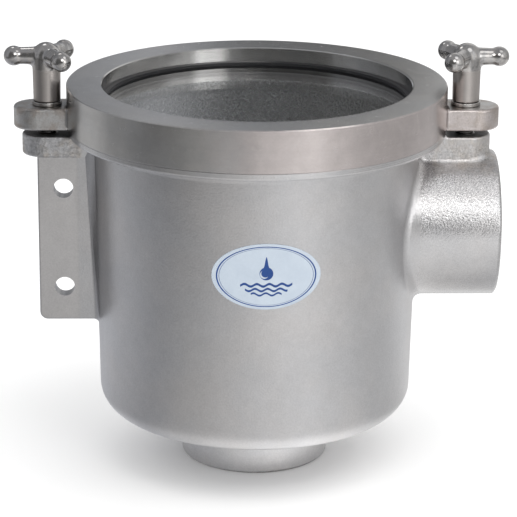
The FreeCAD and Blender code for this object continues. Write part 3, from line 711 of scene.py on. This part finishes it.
# ---------------------------------------------------------------- new pieces
def cast_knob(side, cx, mat):
    """The knob's head with the soft blends of a casting: the CAD solid remeshed, and smoothed above its stem"""
    o = bpy.data.objects.new(side + "_knob_casting", NODES[side + "_hand_knob"].data.copy())
    SC.collection.objects.link(o)
    md = o.modifiers.new("cells", "REMESH")
    md.mode, md.voxel_size, md.use_smooth_shade = "VOXEL", 0.34 * MM, True
    dg = bpy.context.evaluated_depsgraph_get()
    me = bpy.data.meshes.new_from_object(o.evaluated_get(dg))
    o.modifiers.clear()
    o.data = me
    grp = o.vertex_groups.new(name="head")
    for v in me.vertices:
        z, rr = v.co.z, math.hypot(v.co.x - cx, v.co.y)
        t = min(1.0, max(0.0, (z - 0.1985) / 0.004))
        if rr < 0.0056 and z < 0.2065:
            t = 0.0
        grp.add([v.index], 0.04 + 0.96 * t * t * (3 - 2 * t), "REPLACE")
    sm = o.modifiers.new("soft", "SMOOTH")
    sm.factor, sm.iterations, sm.vertex_group = 0.5, 34, "head"
    dg = bpy.context.evaluated_depsgraph_get()
    me2 = bpy.data.meshes.new_from_object(o.evaluated_get(dg))
    o.modifiers.clear()
    o.data = me2
    nrm = [v.normal.copy() for v in me2.vertices]
    for v, n in zip(me2.vertices, nrm):
        t = min(1.0, max(0.0, (v.co.z - 0.1985) / 0.004))
        v.co += n * (0.07 * MM * t)
    o.vertex_groups.clear()
    me2.materials.clear()
    me2.materials.append(mat)
    me2.polygons.foreach_set("use_smooth", [True] * len(me2.polygons))
    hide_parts(side + "_hand_knob")
    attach(o, side + "_knob")
    return o


for side, cx in (("left", -104.6 * MM), ("right", 104.6 * MM)):
    cast_knob(side, cx, NODES[side + "_hand_knob"].data.materials[0])

for side, cx in (("left", -104.6 * MM), ("right", 104.6 * MM)):
    mat = turned_small(side + "_stud_metal", cx)
    lo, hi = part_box(side + "_stud")
    s = threaded_stud(side + "_stud_thread", cx, lo.z, hi.z, mat)
    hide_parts(side + "_stud")
    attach(s, "root")

thread_mat = port_thread_metal()
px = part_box("strainer_body")[1].x
t_in = helix_ridge("inlet_thread", thread_mat,
                   lambda r, a, c: (px - 1.4 * MM - c, r * math.cos(a), 122.5 * MM + r * math.sin(a)),
                   28.45 * MM, 27.62 * MM, 2.309 * MM, 22.2 * MM)
t_out = helix_ridge("outlet_thread", thread_mat,
                    lambda r, a, c: (r * math.cos(a), -r * math.sin(a), 1.4 * MM + c),
                    28.45 * MM, 27.62 * MM, 2.309 * MM, 22.2 * MM)
for o in (t_in, t_out):
    flat_sharp(o, 30)
    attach(o, "root")

def rim_band(mat):
    """Shoulder that squares the flange's top edge and closes the joint under the cover ring, left open at the lugs"""
    prof = ((0.0925, 0.17280), (0.09453, 0.17280), (0.09453, 0.17385), (0.09443, 0.17395), (0.0925, 0.17395))
    verts, faces = [], []
    n = 120
    for base in (8.2, 188.2):
        b0 = len(verts)
        for i in range(n + 1):
            a = math.radians(base + 163.6 * i / n)
            for rr, zz in prof:
                verts.append((rr * math.cos(a), rr * math.sin(a), zz))
        m = len(prof)
        for i in range(n):
            for j in range(m):
                j2 = (j + 1) % m
                faces.append((b0 + i * m + j, b0 + (i + 1) * m + j, b0 + (i + 1) * m + j2, b0 + i * m + j2))
        faces.append(tuple(b0 + j for j in range(m)))
        faces.append(tuple(b0 + n * m + j for j in reversed(range(m))))
    o = obj_from("flange_rim_band", verts, faces, mat)
    flat_sharp(o, 30)
    return o


band = rim_band(cast)
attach(band, "root")

lab = oval_label(label_film())
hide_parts("label")
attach(lab, "root")

# ---------------------------------------------------------------- stage
FLOOR_Z = CAD_BOX[0].z - 0.0002


def floor():
    n, half = 24, 6.0
    verts = [(-half + 2 * half * i / n, -half + 2 * half * j / n, FLOOR_Z) for j in range(n + 1) for i in range(n + 1)]
    faces = [(j * (n + 1) + i, j * (n + 1) + i + 1, (j + 1) * (n + 1) + i + 1, (j + 1) * (n + 1) + i)
             for j in range(n) for i in range(n)]
    k = Mat("pale_floor")
    c = k.noise(k.p, 3.0, 3.0, 0.5)
    k.set(Base_Color=k.mixc(c, (0.93, 0.93, 0.93, 1), (0.95, 0.95, 0.95, 1)), Roughness=k.add(0.75, k.mul(c, 0.1)))
    k.b.inputs["Specular IOR Level"].default_value = 0.2
    o = obj_from("floor", verts, faces, k.mat)
    return o


DOME_C, DOME_R = (0.0, 0.0, 0.12), 0.62


def studio_glow():
    """Brightness of the studio by direction: cloth walls lighter and darker round the object, softboxes over it"""
    m = bpy.data.materials.new("studio_glow")
    m.use_nodes = True
    k = Tree(m.node_tree)
    tc = k.node("ShaderNodeTexCoord")
    off = k.node("ShaderNodeVectorMath", operation="SUBTRACT")
    k.put(off.inputs[0], tc.outputs["Object"])
    off.inputs[1].default_value = DOME_C
    nrm = k.node("ShaderNodeVectorMath", operation="NORMALIZE")
    k.put(nrm.inputs[0], off.outputs[0])
    sep = k.node("ShaderNodeSeparateXYZ")
    k.put(sep.inputs[0], nrm.outputs[0])
    az = k.m("ARCTAN2", sep.outputs[0], k.mul(sep.outputs[1], -1.0))
    f = k.add(k.div(az, 2 * math.pi), 0.5)
    el = k.mul(k.m("ARCSINE", sep.outputs[2]), 180 / math.pi)

    def ramp(stops, gain=1.0):
        n = k.node("ShaderNodeValToRGB")
        cr = n.color_ramp
        cr.interpolation = "EASE"
        while len(cr.elements) < len(stops):
            cr.elements.new(0.5)
        for e, st in zip(cr.elements, stops):
            e.position = st[0] / 360 + 0.5
        for e, st in zip(cr.elements, stops):
            v = st[1] * gain
            c = st[2] if len(st) > 2 else (1, 1, 1)
            e.color = (v * c[0], v * c[1], v * c[2], 1.0)
        k.put(n.inputs[0], f)
        return n.outputs[0]

    cool, warm = (0.97, 0.99, 1.04), (1.03, 1.0, 0.97)
    low = ramp([(-180, 0.44, cool), (-155, 0.56, cool), (-125, 0.72, cool), (-92, 0.55, cool), (-66, 0.40, cool), (-40, 0.53),
                (-16, 0.72), (6, 0.88), (27, 1.02), (50, 0.86), (76, 0.66), (98, 0.74), (120, 1.02), (140, 0.86), (180, 0.50, cool)])
    ringz = ramp([(-180, 0.40, cool), (-150, 0.46), (-110, 0.52), (-88, 0.22), (-63, 0.12), (-49, 0.16), (-29, 0.36), (-10, 0.54),
                  (9, 0.95), (27, 1.10), (46, 0.50), (67, 0.40), (116, 0.50), (140, 0.44), (180, 0.40, cool)])
    mid = ramp([(-180, 0.56, cool), (-164, 0.26, cool), (-130, 0.30, cool), (-72, 0.44, cool), (-58, 0.15), (-20, 0.15), (6, 0.18), (17, 0.40), (50, 0.98), (66, 0.98),
                (88, 0.60), (125, 0.52), (150, 0.80), (168, 0.74), (180, 0.56, cool)])
    base = k.mixc(k.ramp01(el, -13.4, -9.4), low, ringz)
    base = k.mixc(k.ramp01(el, -6.0, 8.0), base, mid)
    base = k.mixc(k.ramp01(el, 38.0, 62.0), base, (0.42, 0.425, 0.44, 1))
    base = k.tint(base, k.lerp(k.ramp01(el, -17.0, -24.0), 1.0, 0.93))
    base = k.tint(base, k.lerp(k.ramp01(el, -46.0, -56.0), 1.0, 1.48))

    def spot(d, inner, outer, level):
        n = k.node("ShaderNodeVectorMath", operation="DOT_PRODUCT")
        k.put(n.inputs[0], nrm.outputs[0])
        n.inputs[1].default_value = Vector(d).normalized()
        return k.mul(k.ramp01(n.outputs["Value"], math.cos(math.radians(outer)), math.cos(math.radians(inner))), level)

    def panel(az0, az1, el0, el1, soft, level):
        deg = k.mul(az, 180 / math.pi)
        q = k.both(k.ramp01(deg, az0 - soft, az0 + soft), k.ramp01(deg, az1 + soft, az1 - soft),
                   k.ramp01(el, el0 - soft, el0 + soft), k.ramp01(el, el1 + soft, el1 - soft))
        return k.mul(q, level)

    lights = k.add(k.add(spot((0.40, -0.24, 0.92), 9, 16, 1.15), spot((0.10, -0.76, 0.65), 8, 15, 3.5)),
                   k.add(panel(24, 50, 8, 34, 5, 1.6), spot((-0.30, 0.42, 0.86), 5, 8, 2.0)))
    dark = spot((0.10, 0.935, 0.335), 5, 12, 0.86)
    base = k.tint(base, k.sub(1.0, dark))
    tot = k.mixc(1.0, base, k.tint((1.0, 0.995, 0.985, 1), lights), "ADD")
    em = k.node("ShaderNodeEmission")
    k.put(em.inputs["Color"], tot)
    em.inputs["Strength"].default_value = 1.0
    out = k.node("ShaderNodeOutputMaterial")
    k.put(out.inputs["Surface"], em.outputs[0])
    return m


def tent():
    """Studio tent: a cloth dome with a pale ground sheet, which only reflections see"""
    seg, rows = 96, 30
    verts, faces = [], []
    radii = (0.052, 0.12, 0.22, 0.34, 0.47)
    zf = FLOOR_Z + 0.0006
    s0 = math.asin((zf - DOME_C[2]) / DOME_R)
    for rr in radii:
        for i in range(seg):
            a = 2 * math.pi * i / seg
            verts.append((rr * math.sin(a), -rr * math.cos(a), zf))
    for j in range(rows):
        e = s0 + (math.pi / 2 - s0) * j / rows
        for i in range(seg):
            a = 2 * math.pi * i / seg
            verts.append((DOME_R * math.cos(e) * math.sin(a), -DOME_R * math.cos(e) * math.cos(a), DOME_C[2] + DOME_R * math.sin(e)))
    for j in range(len(radii) + rows - 1):
        for i in range(seg):
            i2 = (i + 1) % seg
            faces.append((j * seg + i, j * seg + i2, (j + 1) * seg + i2, (j + 1) * seg + i))
    top = (len(radii) + rows - 1) * seg
    verts.append((0, 0, DOME_C[2] + DOME_R))
    for i in range(seg):
        faces.append((top + i, top + (i + 1) % seg, len(verts) - 1))
    o = obj_from("studio_tent", verts, faces, studio_glow())
    o.visible_camera = False
    o.visible_diffuse = False
    o.visible_shadow = False
    o.visible_volume_scatter = False
    return o


floor()
tent()


def area(name, loc, target, sx, sy, power, col=(1, 1, 1)):
    d = bpy.data.lights.new(name, "AREA")
    d.shape, d.size, d.size_y = "RECTANGLE", sx, sy
    d.energy, d.color = power, col
    o = bpy.data.objects.new(name, d)
    SC.collection.objects.link(o)
    o.location = loc
    o.rotation_mode = "QUATERNION"
    o.rotation_quaternion = (Vector(target) - Vector(loc)).to_track_quat("-Z", "Y")
    o.visible_camera = False
    o.visible_glossy = False
    return o


area("softbox", (0.55, -0.55, 1.5), (0.0, 0.0, 0.1), 1.3, 1.3, 9.0, (1.0, 0.995, 0.98))

world = bpy.data.worlds.new("studio")
SC.world = world
world.use_nodes = True
wt = Tree(world.node_tree)
tc = wt.node("ShaderNodeTexCoord")
sep = wt.node("ShaderNodeSeparateXYZ")
wt.put(sep.inputs[0], tc.outputs["Generated"])
up = wt.ramp01(sep.outputs[2], 0.0, 0.9)
bg = wt.node("ShaderNodeBackground")
wt.put(bg.inputs["Color"], wt.mixc(up, (1.0, 1.0, 1.0, 1), (1.05, 1.05, 1.05, 1)))
bg.inputs["Strength"].default_value = 1.12
wo = wt.node("ShaderNodeOutputWorld")
wt.put(wo.inputs["Surface"], bg.outputs[0])
world.cycles_visibility.glossy = False
world.cycles_visibility.transmission = False

# ---------------------------------------------------------------- camera
cam_d = bpy.data.cameras.new("camera")
cam_d.sensor_width, cam_d.lens = 36.0, 170.3
cam_d.clip_start, cam_d.clip_end = 0.05, 50.0
cam = bpy.data.objects.new("camera", cam_d)
SC.collection.objects.link(cam)
C, AIM, ROLL = Vector((-0.0337, -1.1869, 0.4848)), Vector((0.00147, -0.00004, 0.1027)), math.radians(0.491)
fwd = (AIM - C).normalized()
right = fwd.cross(Vector((0, 0, 1))).normalized()
upv = right.cross(fwd)
r2 = right * math.cos(ROLL) + upv * math.sin(ROLL)
u2 = upv * math.cos(ROLL) - right * math.sin(ROLL)
cam.matrix_world = Matrix.Translation(C) @ Matrix((r2, u2, -fwd)).transposed().to_4x4()
SC.camera = cam

SC.view_settings.view_transform = "Standard"
SC.view_settings.look = "None"
SC.view_settings.exposure = 0.0
SC.view_settings.gamma = 1.0
SC.cycles.use_denoising = True
SC.cycles.max_bounces = 12
SC.cycles.diffuse_bounces = 4
SC.cycles.glossy_bounces = 6
SC.cycles.transmission_bounces = 12
SC.cycles.transparent_max_bounces = 12
SC.cycles.caustics_reflective = True
SC.cycles.caustics_refractive = False
SC.cycles.sample_clamp_indirect = 2.5
